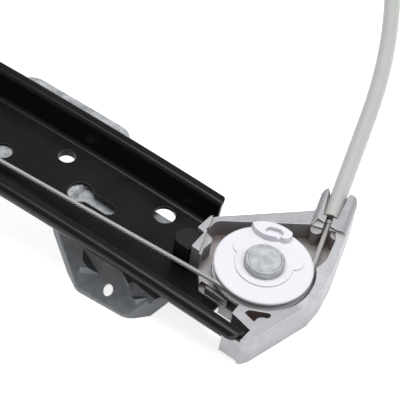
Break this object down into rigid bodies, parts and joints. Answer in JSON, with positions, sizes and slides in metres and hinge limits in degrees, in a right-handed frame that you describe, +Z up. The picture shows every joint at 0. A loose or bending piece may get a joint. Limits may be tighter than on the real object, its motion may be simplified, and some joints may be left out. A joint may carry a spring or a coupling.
{
  "type": "window regulator",
  "caption": "Single-rail cable window regulator: curved channel rail with a cast pulley bracket at each end, cable in conduits, glass carriage and drum unit.",
  "frame": {"origin": "on the surface the regulator lies on, on the axis of the cable drum and of the drum housing's bolt circle", "axes": "+X along the rail towards its lower end, +Y from the rail towards the cable drum, +Z up, out of the rail's open channel"},
  "size_m": [0.6169, 0.2785, 0.0704],
  "materials": {
    "black_paint": "satin black coating",
    "zinc_steel": "zinc plated, matte",
    "steel": "zinc plated",
    "casting": "as die cast, granular",
    "white_plastic": "satin",
    "black_rubber": "matte",
    "grey_sheath": "satin",
    "cable_steel": "stranded",
    "black_plastic": "fine grain",
    "natural_plastic": "satin"
  },
  "bodies": {
    "frame": {"cover_screws": "steel", "drum_cover": "black_plastic", "drum_housing": "black_plastic", "drum_leads": "cable_steel", "guide_rail": "black_paint", "lower_bracket_rivets": "steel", "lower_bump_stop": "black_rubber", "lower_conduit": "grey_sheath", "lower_conduit_cap": "black_plastic", "lower_mounting_bracket": "zinc_steel", "lower_pulley_bracket": "casting", "lower_pulley_pin": "zinc_steel", "regulator_cable": "cable_steel", "upper_bracket_rivets": "steel", "upper_bump_stop": "black_rubber", "upper_conduit": "grey_sheath", "upper_conduit_cap": "black_plastic", "upper_mounting_bracket": "zinc_steel", "upper_pulley_bracket": "casting", "upper_pulley_pin": "zinc_steel"},
    "lower_pulley": {"lower_pulley": "white_plastic"},
    "upper_pulley": {"upper_pulley": "white_plastic"},
    "drum": {"cable_drum": "natural_plastic", "drum_windings": "cable_steel"},
    "carriage": {"far_glides": "natural_plastic", "near_glides": "natural_plastic", "carriage_plate": "zinc_steel", "cable_anchor": "natural_plastic", "cable_end_blocks": "casting", "carriage_rivets": "steel", "glass_clamp_base": "black_plastic", "glass_clamp_jaw": "black_plastic", "glass_clamp_pads": "black_rubber", "glass_clamp_bolt": "steel"}
  },
  "joints": [
    {"name": "carriage_travel", "type": "hinge", "parent": "frame", "child": "carriage", "pos_m": [0, -0.1974, -1.60908], "axis": [0, 1, 0], "range_deg": [-6.71, 6.71]},
    {"name": "lower_pulley_turn", "type": "hinge", "parent": "frame", "child": "lower_pulley", "pos_m": [0.27396, -0.1879, 0.01843], "axis": [0.166, 0, 0.9861], "range_deg": [-590.9, 590.9]},
    {"name": "upper_pulley_turn", "type": "hinge", "parent": "frame", "child": "upper_pulley", "pos_m": [-0.27396, -0.1879, 0.01843], "axis": [-0.166, 0, 0.9861], "range_deg": [-590.9, 590.9]},
    {"name": "drum_turn", "type": "hinge", "parent": "frame", "child": "drum", "pos_m": [0, 0, 0.01275], "axis": [0, 0, 1], "range_deg": [-460.9, 460.9]}
  ],
  "couplings": [
    {"joint": "lower_pulley_turn", "follows": "carriage_travel", "ratio": 87.767},
    {"joint": "upper_pulley_turn", "follows": "carriage_travel", "ratio": 87.767},
    {"joint": "drum_turn", "follows": "carriage_travel", "ratio": 68.385}
  ]
}
